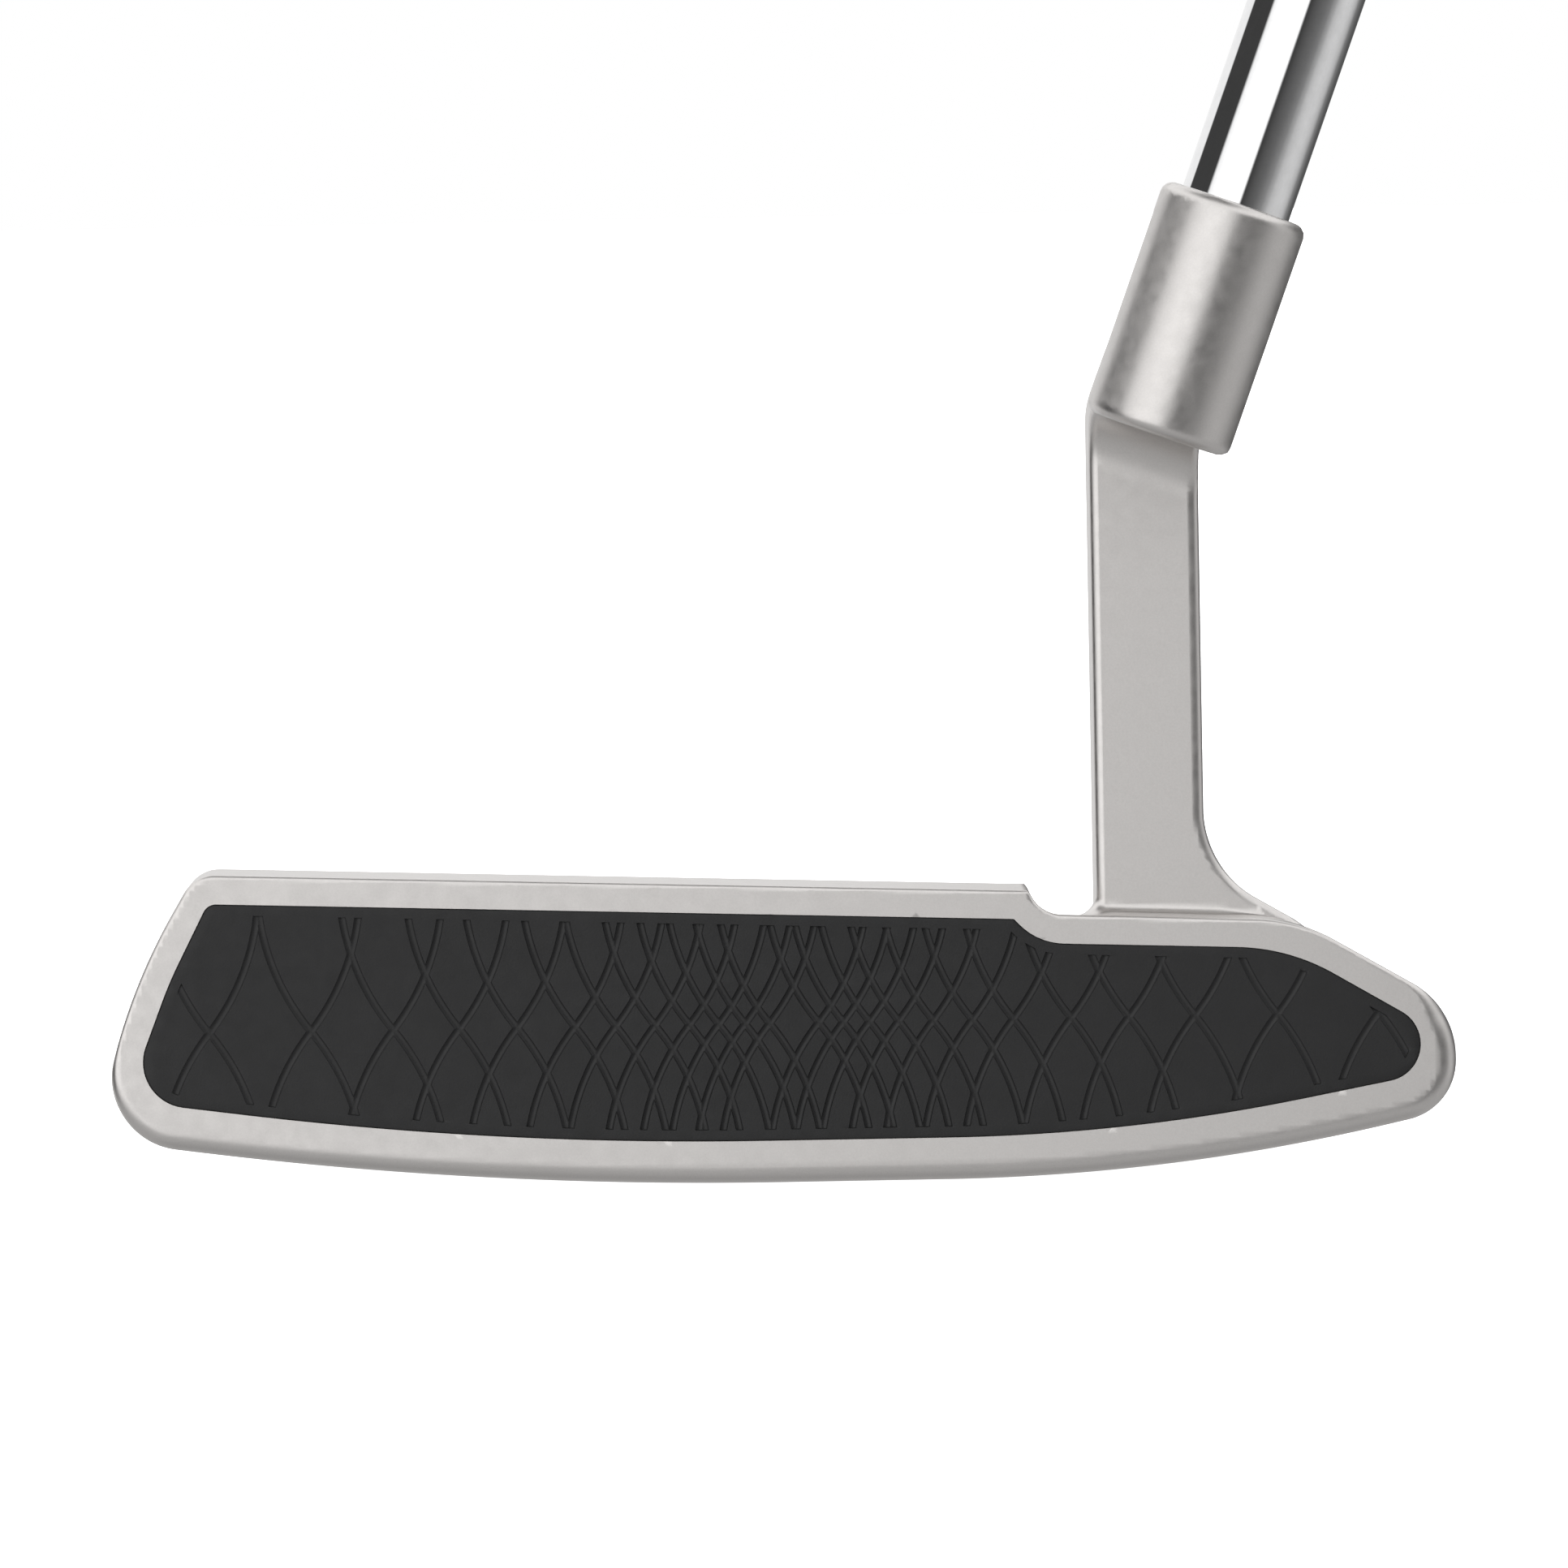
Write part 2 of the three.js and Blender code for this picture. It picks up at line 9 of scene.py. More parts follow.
import bpy
import numpy as np
from mathutils import Matrix, Vector
from mathutils.geometry import delaunay_2d_cdt


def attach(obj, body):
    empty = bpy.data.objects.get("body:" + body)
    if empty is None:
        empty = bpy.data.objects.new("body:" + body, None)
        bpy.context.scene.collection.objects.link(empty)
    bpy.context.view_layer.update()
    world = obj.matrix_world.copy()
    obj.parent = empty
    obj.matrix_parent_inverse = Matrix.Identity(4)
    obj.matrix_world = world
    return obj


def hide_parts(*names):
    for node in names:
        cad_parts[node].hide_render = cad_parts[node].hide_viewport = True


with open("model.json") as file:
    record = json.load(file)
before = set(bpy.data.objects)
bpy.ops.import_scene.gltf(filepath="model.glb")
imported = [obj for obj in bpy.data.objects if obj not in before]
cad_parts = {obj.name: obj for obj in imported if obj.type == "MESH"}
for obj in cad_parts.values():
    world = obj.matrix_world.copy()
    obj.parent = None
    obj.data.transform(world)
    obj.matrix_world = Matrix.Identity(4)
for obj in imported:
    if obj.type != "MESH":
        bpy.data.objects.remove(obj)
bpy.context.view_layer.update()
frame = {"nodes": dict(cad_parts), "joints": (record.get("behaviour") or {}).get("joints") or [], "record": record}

# ----------------------------------------------------------------------------------------------------
# Sizes, in millimetres
# ----------------------------------------------------------------------------------------------------

MM = 0.001

LOFT = math.radians(3)
LEAN = math.radians(20)             # the shaft leans from upright by 90 degrees less the lie
SHAFT_X = 9.3                       # the axis meets the ground here
SHAFT_FORWARD = 4.7
STRIKE_HEIGHT = 13.4
INSERT_RECESS = 0.1

TOPLINE = 7.5
DEPTH = 27.0
NECK_LEFT, NECK_RIGHT = 27.3, 36.7
NECK_FRONT, NECK_BACK = 4.5, 13.0
NECK_BEND = 63.0                    # the neck's sides lean with the shaft from here
CRANK_TOP = 73.0
BARREL_R = 6.35
BARREL_BOTTOM, BARREL_TOP = 67.9, 88.4
POCKET_DEPTH = 5.7
TOP_FALL = 0.12                     # the notch and the heel fall this much towards the back
FALL_START = 1.5                    # the heel's fall eases in over twice this depth
FLARE_SINK = 0.6                    # the neck's flare ends this far under the heel's slope
SIGHT_START = 10.5                  # depth where the sight line starts
SIGHT_FLOOR = 8.43                  # height of its floor there
SIGHT_FALL = 0.196
SIGHT_HALF = 0.6

# Edges and fillets of the casting
OUTER_EDGE = 2.2
FACE_EDGE, SOFT_FACE_EDGE = 0.33, 1.3
BACK_EDGE = 0.9
WALL_FILLET = 2.0
WEIGHT_INNER = 31                   # half the gap between the weights at the ground
WEIGHT_FLARE = 3 / 24
WEIGHT_EDGE, WEIGHT_FILLET = 1.0, 1.2
NECK_EDGE = 0.8
BARREL_EDGE, BARREL_FILLET = 1.0, 0.8
BORE_GAP, BORE_DEPTH, BORE_EDGE = 0.06, 4, 0.25

TIP_R = 4.7
TAN_LOFT = math.tan(LOFT)

# Where the blade's middle and leading edge lie in the frame
mounts = {m["name"]: m for m in frame["record"]["mounts"]}
joints = {j["name"]: j for j in frame["joints"]}
strike = Vector(mounts["strike_face"]["pos_m"]) / MM
axis_point = Vector(joints["screw_turn"]["pos_m"]) / MM
ground_x = axis_point.x - axis_point.z * math.tan(LEAN)
BLADE_ORIGIN = Vector((ground_x - SHAFT_X, strike.y - INSERT_RECESS - STRIKE_HEIGHT * TAN_LOFT, 0))

# ----------------------------------------------------------------------------------------------------
# Outlines with round corners, and their signed distance (negative inside)
# ----------------------------------------------------------------------------------------------------


class Outline:
    """A closed outline of straight sides and arcs, from corners (u, v, radius)."""

    def __init__(self, corners):
        points = [np.array(c[:2], float) for c in corners]
        area = sum(a[0] * b[1] - a[1] * b[0] for a, b in zip(points, points[1:] + points[:1]))
        if area < 0:
            corners = corners[::-1]
            points = points[::-1]
        count = len(points)
        self.arcs = []
        ends = []
        for i, corner in enumerate(corners):
            here, radius = points[i], corner[2]
            back = points[i - 1] - here
            on = points[(i + 1) % count] - here
            back /= np.linalg.norm(back)
            on /= np.linalg.norm(on)
            half = math.acos(np.clip(back @ on, -1, 1)) / 2
            middle = (back + on) / np.linalg.norm(back + on)
            centre = here + middle * radius / math.sin(half)
            convex = 1 if back[0] * on[1] - back[1] * on[0] < 0 else -1
            reach = radius / math.tan(half)
            self.arcs.append((centre, radius, convex, -middle, math.cos(math.pi / 2 - half)))
            ends.append((here + back * reach, here + on * reach))
        self.sides = [(ends[i][1], ends[(i + 1) % count][0]) for i in range(count)]

    def distance(self, u, v):
        nearest = np.full(np.shape(u), 1e9)
        signed = np.full(np.shape(u), 1e9)
        for a, b in self.sides:
            along = b - a
            length = np.hypot(*along)
            along = along / length
            du, dv = u - a[0], v - a[1]
            t = np.clip(du * along[0] + dv * along[1], 0, length)
            gap = np.hypot(du - t * along[0], dv - t * along[1])
            left = along[0] * dv - along[1] * du
            closer = gap < nearest
            nearest = np.where(closer, gap, nearest)
            signed = np.where(closer, np.where(left > 0, -gap, gap), signed)
        for centre, radius, convex, middle, limit in self.arcs:
            du, dv = u - centre[0], v - centre[1]
            rho = np.hypot(du, dv)
            gap = np.abs(rho - radius)
            closer = (gap < nearest) & (du * middle[0] + dv * middle[1] >= rho * limit - 1e-9)
            nearest = np.where(closer, gap, nearest)
            signed = np.where(closer, convex * (rho - radius), signed)
        return signed


def round_common(a, b, radius):
    """What two bodies share, its new edge rounded."""
    u, v = np.maximum(a + radius, 0), np.maximum(b + radius, 0)
    return np.minimum(np.maximum(a, b), -radius) + np.hypot(u, v)


def round_join(a, b, radius):
    """Two bodies in one, with a fillet in the new corner."""
    u, v = np.maximum(radius - a, 0), np.maximum(radius - b, 0)
    return np.maximum(np.minimum(a, b), radius) - np.hypot(u, v)


def smooth(a, b, v):
    t = np.clip((v - a) / (b - a), 0, 1)
    return t * t * (3 - 2 * t)


# ----------------------------------------------------------------------------------------------------
# The head's shape
# ----------------------------------------------------------------------------------------------------

BLADE = Outline([
    (-25.5, 0, 360),
    (-59.1, 4.7, 6.2),
    (-55.4, 18.2, 50),
    (-50.0, 27.35, 3),
    (21.35, 24.75, 0.5),
    (22.3, 22.75, 3),
    (44.4, 21.8, 15),
    (57.8, 14.05, 7.3),
    (57.8, 5.3, 5.2),
    (33.3, 0, 180),
])
INSERT = Outline([
    (-24.0, 3.75, 330),
    (-56.2, 8.15, 3.9),
    (-52.3, 18.2, 36),
    (-48.9, 24.85, 1.2),
    (20.05, 22.35, 0.3),
    (22.05, 20.25, 5.5),
    (43.5, 19.45, 17.5),
    (60.5, 9.5, 3.2),
    (29.6, 3.75, 166),
])
PLAN = Outline([
    (-60, -4, 0.5),
    (60, -4, 0.5),
    (60, DEPTH - 2, 17),
    (0, DEPTH + 0.65, 220),
    (-60, DEPTH - 2, 17),
])

# Side profiles (depth, z). They run on past the head where other surfaces bound it.
PAST = 60
SOLE = Outline([
    (-PAST, 0, 0.5),
    (22, 0, 12),
    (22 + PAST, 0.29 * PAST, 0.5),
    (22 + PAST, PAST, 0.5),
    (-PAST, PAST, 0.5),
])
FLANGE = Outline([
    (-PAST, -PAST, 0.5),
    (6 + PAST, -PAST, 0.5),
    (6 + PAST, 9.8 - 0.195 * PAST, 0.5),
    (6, 9.8, 0.5),
    (-PAST, 9.8, 0.5),
])
WEIGHT = Outline([
    (-PAST, -PAST, 0.5),
    (17.5 + PAST, -PAST, 0.5),
    (17.5 + PAST, 11.8 - 0.28 * PAST, 0.5),
    (17.5, 11.8, 3),
    (12, 19.0, 2),
    (12 - PAST, 19 + 0.09 * PAST, 0.5),
])
SLOPE = math.tan(LEAN)
NECK_FACE = Outline([
    (NECK_LEFT, 13, 1),
    (50, 13, 1),
    (49, 18.85, 0.5),
    (NECK_RIGHT, 25.95, 8.7),
    (NECK_RIGHT, NECK_BEND, 8),
    (NECK_RIGHT + SLOPE * (CRANK_TOP - NECK_BEND), CRANK_TOP - 1.5, 2),
    (NECK_LEFT + 0.6 + SLOPE * (CRANK_TOP - NECK_BEND - 2.5), CRANK_TOP + 1.5, 2),
    (NECK_LEFT, NECK_BEND + 2.5, 8),
])
NECK_MIDDLE = (NECK_LEFT + NECK_RIGHT) / 2
CRANK_BOTTOM = BARREL_BOTTOM / math.cos(LEAN) - (NECK_MIDDLE - SHAFT_X) * SLOPE + 0.4
NECK_SIDE = Outline([
    (NECK_FRONT, 12, 0.5),
    (NECK_BACK, 12, 0.5),
    (NECK_BACK, CRANK_TOP + 2, 9),
    (-SHAFT_FORWARD - 4, CRANK_TOP + 2, 0.5),
    (-SHAFT_FORWARD - 4, CRANK_BOTTOM, 0.5),
    (NECK_FRONT, CRANK_BOTTOM, 5.5),
])


def along_shaft(x, y, z):
    """Station along the shaft's axis, and distance from it."""
    across = (x - SHAFT_X) * math.cos(LEAN) - z * math.sin(LEAN)
    station = (x - SHAFT_X) * math.sin(LEAN) + z * math.cos(LEAN)
    return station, np.hypot(across, y + SHAFT_FORWARD)


def neck_distance(x, depth, z):
    """Signed distance to the upright bar; its underside at the crank is square to the shaft."""
    flare_fall = TOP_FALL * (depth - NECK_FRONT) * smooth(36, 40, x) + FLARE_SINK * smooth(44, 47.5, x)
    slanted = z + (x - NECK_MIDDLE) * SLOPE
    return round_common(NECK_FACE.distance(x, z + flare_fall), NECK_SIDE.distance(depth, slanted), NECK_EDGE)


def head_distance(x, depth, z):
    """Signed distance to the head casting; depth is measured from the lofted face."""
    in_notch = smooth(21, 22.5, x) * smooth(28.5, 26.5, x)
    back = np.maximum(depth, 0)
    eased = np.where(back < 2 * FALL_START, back ** 2 / (4 * FALL_START), back - FALL_START)
    fall = TOP_FALL * (in_notch * depth + smooth(40, 47, x) * eased) * smooth(9, 15, z)
    front = BLADE.distance(x, z + fall)
    outside = np.maximum(front, SOLE.distance(depth, z))
    outside = round_common(outside, PLAN.distance(x, depth), OUTER_EDGE)

    behind = round_join(depth - TOPLINE, FLANGE.distance(depth, z), WALL_FILLET)
    inner = (WEIGHT_INNER + WEIGHT_FLARE * z - np.abs(x)) * math.cos(math.atan(WEIGHT_FLARE))
    weights = round_common(WEIGHT.distance(depth, z), inner, WEIGHT_EDGE)
    behind = round_join(behind, weights, WEIGHT_FILLET)
    body = round_common(outside, behind, BACK_EDGE)
    low = smooth(13.5, 5.5, z)
    nose = smooth(52.5, 56.5, x) * smooth(17.5, 13, z)
    body = round_common(body, -depth, FACE_EDGE + SOFT_FACE_EDGE * np.maximum(low, nose))

    # The fillet at the neck's foot is wide in the notch and runs out along the flare
    foot = 0.7 + 1.5 * smooth(28.5, 26.5, x) - 0.67 * smooth(37.5, 42, x)
    body = round_join(body, neck_distance(x, depth, z), foot)
    station, radius = along_shaft(x, depth + z * TAN_LOFT, z)
    middle, half = (BARREL_TOP + BARREL_BOTTOM) / 2, (BARREL_TOP - BARREL_BOTTOM) / 2
    barrel = round_common(radius - BARREL_R, np.abs(station - middle) - half, BARREL_EDGE)
    body = round_join(body, barrel, BARREL_FILLET)
    bore = np.maximum(radius - TIP_R - BORE_GAP, BARREL_TOP - BORE_DEPTH - station)
    body = round_common(body, -bore, BORE_EDGE)
    sight = np.maximum(np.abs(x) - SIGHT_HALF, SIGHT_START - depth)
    sight = np.maximum(sight, SIGHT_FLOOR - SIGHT_FALL * (depth - SIGHT_START) - z)
    return np.maximum(body, -sight)


def gradient(distance, p, step=2e-3):
    """Unit normals of a distance field at points p, by central differences."""
    out = np.empty_like(p)
    for k in range(3):
        high, low = p.copy(), p.copy()
        high[:, k] += step
        low[:, k] -= step
        out[:, k] = distance(*high.T) - distance(*low.T)
    return out / np.maximum(np.linalg.norm(out, axis=1), 1e-12)[:, None]


def dual_contour(distance, xs, ys, zs):
    """Meshes the surface where distance is zero on a grid of boxes, keeping sharp edges sharp."""
    axes = (xs, ys, zs)
    shape = tuple(len(a) for a in axes)
    block = 6
    middles = [a[np.minimum(np.arange(block // 2, len(a) + block // 2, block), len(a) - 1)] for a in axes]
    coarse = np.stack(np.meshgrid(*middles, indexing="ij"))
    rough = distance(*coarse)
    reach = 0.62 * block * math.sqrt(sum(np.diff(a).max() ** 2 for a in axes))
    expand = [np.arange(len(a)) // block for a in axes]
    values = np.sign(rough)[np.ix_(*expand)].astype(float)
    near = (np.abs(rough) < reach)[np.ix_(*expand)]
    spots = np.argwhere(near)
    for part in np.array_split(spots, max(1, len(spots) // 200000)):
        i, j, k = part.T
        values[i, j, k] = distance(xs[i], ys[j], zs[k])

    crossings, normals, cells, quads = [], [], [], []
    strides = np.array([(shape[1] - 1) * (shape[2] - 1), shape[2] - 1, 1])
    for axis in range(3):
        low = [slice(None)] * 3
        high = [slice(None)] * 3
        low[axis], high[axis] = slice(None, -1), slice(1, None)
        start, end = values[tuple(low)], values[tuple(high)]
        edges = np.argwhere((start < 0) != (end < 0))
        inner = np.ones(len(edges), bool)
        for other in range(3):
            if other != axis:
                inner &= (edges[:, other] > 0) & (edges[:, other] < shape[other] - 1)
        edges = edges[inner]
        f0, f1 = start[tuple(edges.T)], end[tuple(edges.T)]
        a = np.stack([axes[k][edges[:, k]] for k in range(3)], 1)
        b = a.copy()
        b[:, axis] = axes[axis][edges[:, axis] + 1]
        t0, t1 = np.zeros(len(edges)), np.ones(len(edges))
        g0, g1 = f0.copy(), f1.copy()
        for _ in range(4):
            t = t0 + (t1 - t0) * np.clip(g0 / (g0 - g1), 0.05, 0.95)
            g = distance(*(a + (b - a) * t[:, None]).T)
            same = (g < 0) == (g0 < 0)
            t0, g0 = np.where(same, t, t0), np.where(same, g, g0)
            t1, g1 = np.where(same, t1, t), np.where(same, g1, g)
        point = a + (b - a) * (t0 + (t1 - t0) * g0 / (g0 - g1))[:, None]
        crossings.append(point)
        normals.append(gradient(distance, point))
        u, v = (axis + 1) % 3, (axis + 2) % 3
        around = []
        for du, dv in ((-1, -1), (0, -1), (0, 0), (-1, 0)):
            cell = edges.copy()
            cell[:, u] += du
            cell[:, v] += dv
            around.append(cell @ strides)
        around = np.stack(around, 1)
        cells.append(around)
        quads.append(np.where((f0 < 0)[:, None], around, around[:, ::-1]))

    point, normal = np.concatenate(crossings), np.concatenate(normals)
    around, quads = np.concatenate(cells), np.concatenate(quads)
    used, slots = np.unique(around, return_inverse=True)
    slots = slots.reshape(around.shape)
    count = np.bincount(slots.ravel(), minlength=len(used)).astype(float)

    def gather(values_per_edge):
        return np.bincount(slots.ravel(), weights=np.repeat(values_per_edge, 4), minlength=len(used))

    centre = np.stack([gather(point[:, k]) for k in range(3)], 1) / count[:, None]
    matrix = np.empty((len(used), 3, 3))
    for i in range(3):
        for j in range(i, 3):
            matrix[:, i, j] = matrix[:, j, i] = gather(normal[:, i] * normal[:, j])
    level = (normal * point).sum(1)
    target = np.stack([gather(normal[:, k] * level) for k in range(3)], 1)
    target -= np.einsum("nij,nj->ni", matrix, centre)
    sizes, directions = np.linalg.eigh(matrix)
    inverse = np.where(sizes > 0.08 * sizes[:, -1:], 1 / np.maximum(sizes, 1e-9), 0)
    local = np.einsum("nji,nj->ni", directions, target) * inverse
    vertex = centre + np.einsum("nij,nj->ni", directions, local)
    corner = np.stack(np.unravel_index(used, [n - 1 for n in shape]), 1)
    for k in range(3):
        lowest, highest = axes[k][corner[:, k]], axes[k][corner[:, k] + 1]
        vertex[:, k] = np.clip(vertex[:, k], lowest, highest)
    smooth_here = sizes[:, 1] < 0.08 * sizes[:, 2]
    for _ in range(2):
        pull = np.clip(distance(*vertex.T), -0.2, 0.2) * smooth_here
        vertex -= gradient(distance, vertex) * pull[:, None]
    return vertex, np.searchsorted(used, quads)


# ----------------------------------------------------------------------------------------------------
# Meshes
# ----------------------------------------------------------------------------------------------------


def mesh_object(name, points, faces, material, body, replaced=(), smooth_angle=None):
    """Makes an object from points in millimetres in the frame, and gives it its body."""
    mesh = bpy.data.meshes.new(name)
    points = np.asarray(points, float) * MM
    faces = np.asarray(faces)
    sides = faces.shape[1]
    mesh.vertices.add(len(points))
    mesh.vertices.foreach_set("co", points.astype(np.float32).ravel())
    mesh.loops.add(faces.size)
    mesh.loops.foreach_set("vertex_index", faces.astype(np.int32).ravel())
    mesh.polygons.add(len(faces))
    mesh.polygons.foreach_set("loop_start", np.arange(0, faces.size, sides, dtype=np.int32))
    mesh.update(calc_edges=True)
    mesh.validate()
    mesh.shade_smooth()
    if smooth_angle is not None:
        mesh.set_sharp_from_angle(angle=math.radians(smooth_angle))
    obj = bpy.data.objects.new(name, mesh)
    bpy.context.scene.collection.objects.link(obj)
    mesh.materials.append(material)
    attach(obj, body)
    if replaced:
        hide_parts(*replaced)
    return obj


SAME_SIDE = 38                      # normals this close, in degrees, belong to one side of an edge


def true_normals(obj, distance, to_shape):
    """Shades a mesh with the exact normals of its distance field, each side of a sharp edge its own."""
    mesh = obj.data
    points = np.empty(len(mesh.vertices) * 3, np.float32)
    mesh.vertices.foreach_get("co", points)
    points = to_shape(points.reshape(-1, 3).astype(float) / MM)
    loops = np.empty(len(mesh.loops), np.int32)
    mesh.loops.foreach_get("vertex_index", loops)
    totals = np.empty(len(mesh.polygons), np.int32)
    mesh.polygons.foreach_get("loop_total", totals)
    flat = np.empty(len(mesh.polygons) * 3, np.float32)
    mesh.polygons.foreach_get("normal", flat)
    owner = np.repeat(np.arange(len(totals)), totals)
    flat = flat.reshape(-1, 3)[owner]
    middle = np.stack([np.bincount(owner, points[loops][:, k]) for k in range(3)], 1) / totals[:, None]
    at_vertex = gradient(distance, points, 0.004)[loops]
    at_face = gradient(distance, points[loops] * 0.7 + middle[owner] * 0.3, 0.004)
    limit = math.cos(math.radians(SAME_SIDE))
    agrees = (at_face * flat).sum(1) > limit
    normals = np.where(agrees[:, None], at_face, flat)
    agrees = (at_vertex * normals).sum(1) > limit
    normals = np.where(agrees[:, None], at_vertex, normals)
    mesh.normals_split_custom_set(normals.tolist())


def blade_to_frame(points):
    """From (x, depth behind the lofted face, z) to the frame."""
    out = np.array(points, float)
    out[:, 1] += out[:, 2] * TAN_LOFT
    return out + np.array(BLADE_ORIGIN)


def frame_to_blade(points):
    """From the frame to (x, y behind the leading edge, z), not yet leaned back by the loft."""
    return points - np.array(BLADE_ORIGIN)


def upright(distance):
    """A distance field in blade coordinates, for points that haven't been leaned back."""
    return lambda x, y, z: distance(x, y - z * TAN_LOFT, z)


def spaced(start, end, step, fine=()):
    """Grid lines from start to end, with finer steps in the ranges (low, high, step) of fine."""
    lines = [start]
    while lines[-1] < end:
        here = lines[-1]
        size = min([s for low, high, s in fine if low <= here < high] + [step])
        lines.append(here + size)
    return np.array(lines)


def loop_points(outline, inset, step):
    """Points along an outline, moved inwards, without those that the move turns over."""
    points = []
    for i, (centre, radius, convex, _, _) in enumerate(outline.arcs):
        start, end = outline.sides[i - 1][1] - centre, outline.sides[i][0] - centre
        turn = math.atan2(start[0] * end[1] - start[1] * end[0], start @ end)
        steps = max(3, math.ceil(abs(turn) * radius / step), math.ceil(abs(turn) / 0.12))
        for k in range(steps + 1):
            c, s = math.cos(turn * k / steps), math.sin(turn * k / steps)
            arm = np.array([start[0] * c - start[1] * s, start[0] * s + start[1] * c]) / radius
            points.append(centre + arm * (radius - inset * convex))
        a, b = outline.sides[i]
        length = np.hypot(*(b - a))
        along = (b - a) / max(length, 1e-9)
        inward = np.array([-along[1], along[0]])
        parts = max(1, math.ceil(length / step))
        points.extend(a + along * length * k / parts + inward * inset for k in range(1, parts))
    points = np.array(points)
    points = points[-outline.distance(points[:, 0], points[:, 1]) > inset - 1e-3]
    return points[np.hypot(*(points - np.roll(points, 1, axis=0)).T) > 0.004]


SHAFT_TO_FRAME = np.array([
    [math.cos(LEAN), 0, math.sin(LEAN)],
    [0, 1, 0],
    [-math.sin(LEAN), 0, math.cos(LEAN)],
])


def shaft_to_frame(points):
    """From the shaft's own coordinates, with stations along its axis as the third, to the frame."""
    return points @ SHAFT_TO_FRAME.T + np.array([ground_x, axis_point.y, 0])


def turned(name, corners, segments, mat, body, replaced, step=1e9):
    """A body turned about the shaft's axis, from the corners (radius, station, rounding) of its section."""
    section = loop_points(Outline(corners), 0, step)
    angle = np.arange(segments) * 2 * math.pi / segments
    ring = np.stack([np.cos(angle), np.sin(angle)], 1)
    points = np.empty((len(section), segments, 3))
    points[:, :, :2] = section[:, None, :1] * ring
    points[:, :, 2] = section[:, 1:]
    return lofted(name, points, mat, body, replaced)


def lofted(name, rings, mat, body, replaced):
    """A closed body through rings of points, the last ring joined to the first."""
    count, around = rings.shape[:2]
    i, k = np.meshgrid(np.arange(count), np.arange(around), indexing="ij")
    next_i, next_k = (i + 1) % count, (k + 1) % around
    faces = np.stack([i * around + k, i * around + next_k, next_i * around + next_k, next_i * around + k], -1)
    points = shaft_to_frame(rings.reshape(-1, 3))
    return mesh_object(name, points, faces.reshape(-1, 4), mat, body, replaced, smooth_angle=30)


# ----------------------------------------------------------------------------------------------------
# Materials
# ----------------------------------------------------------------------------------------------------


def material(name, colour, metallic, roughness, **inputs):
    """A plain shader; further inputs are named with _ for each space."""
    mat = bpy.data.materials.new(name)
    mat.use_nodes = True
    shader = mat.node_tree.nodes["Principled BSDF"]
    shader.inputs["Base Color"].default_value = (*colour, 1)
    shader.inputs["Metallic"].default_value = metallic
    shader.inputs["Roughness"].default_value = roughness
    for key, value in inputs.items():
        shader.inputs[key.replace("_", " ")].default_value = value
    return mat


def noise(mat, scale, detail=3, roughness=0.5):
    """A noise pattern fixed to the object."""
    nodes, links = mat.node_tree.nodes, mat.node_tree.links
    place = nodes.new("ShaderNodeTexCoord")
    texture = nodes.new("ShaderNodeTexNoise")
    texture.inputs["Scale"].default_value = scale
    texture.inputs["Detail"].default_value = detail
    texture.inputs["Roughness"].default_value = roughness
    links.new(place.outputs["Object"], texture.inputs["Vector"])
    return texture.outputs["Fac"]


def grain(mat, height, strength, distance):
    """Bump from a height pattern."""
    nodes, links = mat.node_tree.nodes, mat.node_tree.links
    bump = nodes.new("ShaderNodeBump")
    bump.inputs["Strength"].default_value = strength
    bump.inputs["Distance"].default_value = distance
    links.new(height, bump.inputs["Height"])
    links.new(bump.outputs["Normal"], nodes["Principled BSDF"].inputs["Normal"])


def vary(mat, source, socket, low, high):
    """Runs a shader socket between two numbers, or two colours, with a pattern."""
    nodes, links = mat.node_tree.nodes, mat.node_tree.links
    target = nodes["Principled BSDF"].inputs[socket]
    if socket == "Base Color":
        ramp = nodes.new("ShaderNodeValToRGB")
        ramp.color_ramp.elements[0].position, ramp.color_ramp.elements[1].position = 0.3, 0.7
        ramp.color_ramp.elements[0].color, ramp.color_ramp.elements[1].color = (*low, 1), (*high, 1)
        links.new(source, ramp.inputs["Fac"])
        links.new(ramp.outputs["Color"], target)
        return
    span = nodes.new("ShaderNodeMapRange")
    span.inputs["From Min"].default_value, span.inputs["From Max"].default_value = 0.3, 0.7
    span.inputs["To Min"].default_value, span.inputs["To Max"].default_value = low, high
    links.new(source, span.inputs["Value"])
    links.new(span.outputs["Result"], target)


def metal(name, colour, roughness, grain_scale, grain_strength, spread=0.04):
    mat = material(name, colour, 1, roughness)
    grain(mat, noise(mat, grain_scale, 3, 0.6), grain_strength, 0.000006)
    vary(mat, noise(mat, grain_scale / 6, 3), "Roughness", roughness - spread, roughness + spread)
    darker = tuple(0.95 * c for c in colour)
    lighter = tuple(min(1.03 * c, 1) for c in colour)
    vary(mat, noise(mat, grain_scale * 1.1, 4, 0.7), "Base Color", darker, lighter)
    return mat


def polymer(name, colour, roughness, grain_scale, grain_strength, **inputs):
    mat = material(name, colour, 0, roughness, **inputs)
    grain(mat, noise(mat, grain_scale, 3, 0.55), grain_strength, 0.00004)
    vary(mat, noise(mat, grain_scale / 9, 3), "Roughness", roughness - 0.05, roughness + 0.06)
    lighter = tuple(1.2 * c for c in colour)
    vary(mat, noise(mat, grain_scale / 25, 2), "Base Color", colour, lighter)
    return mat


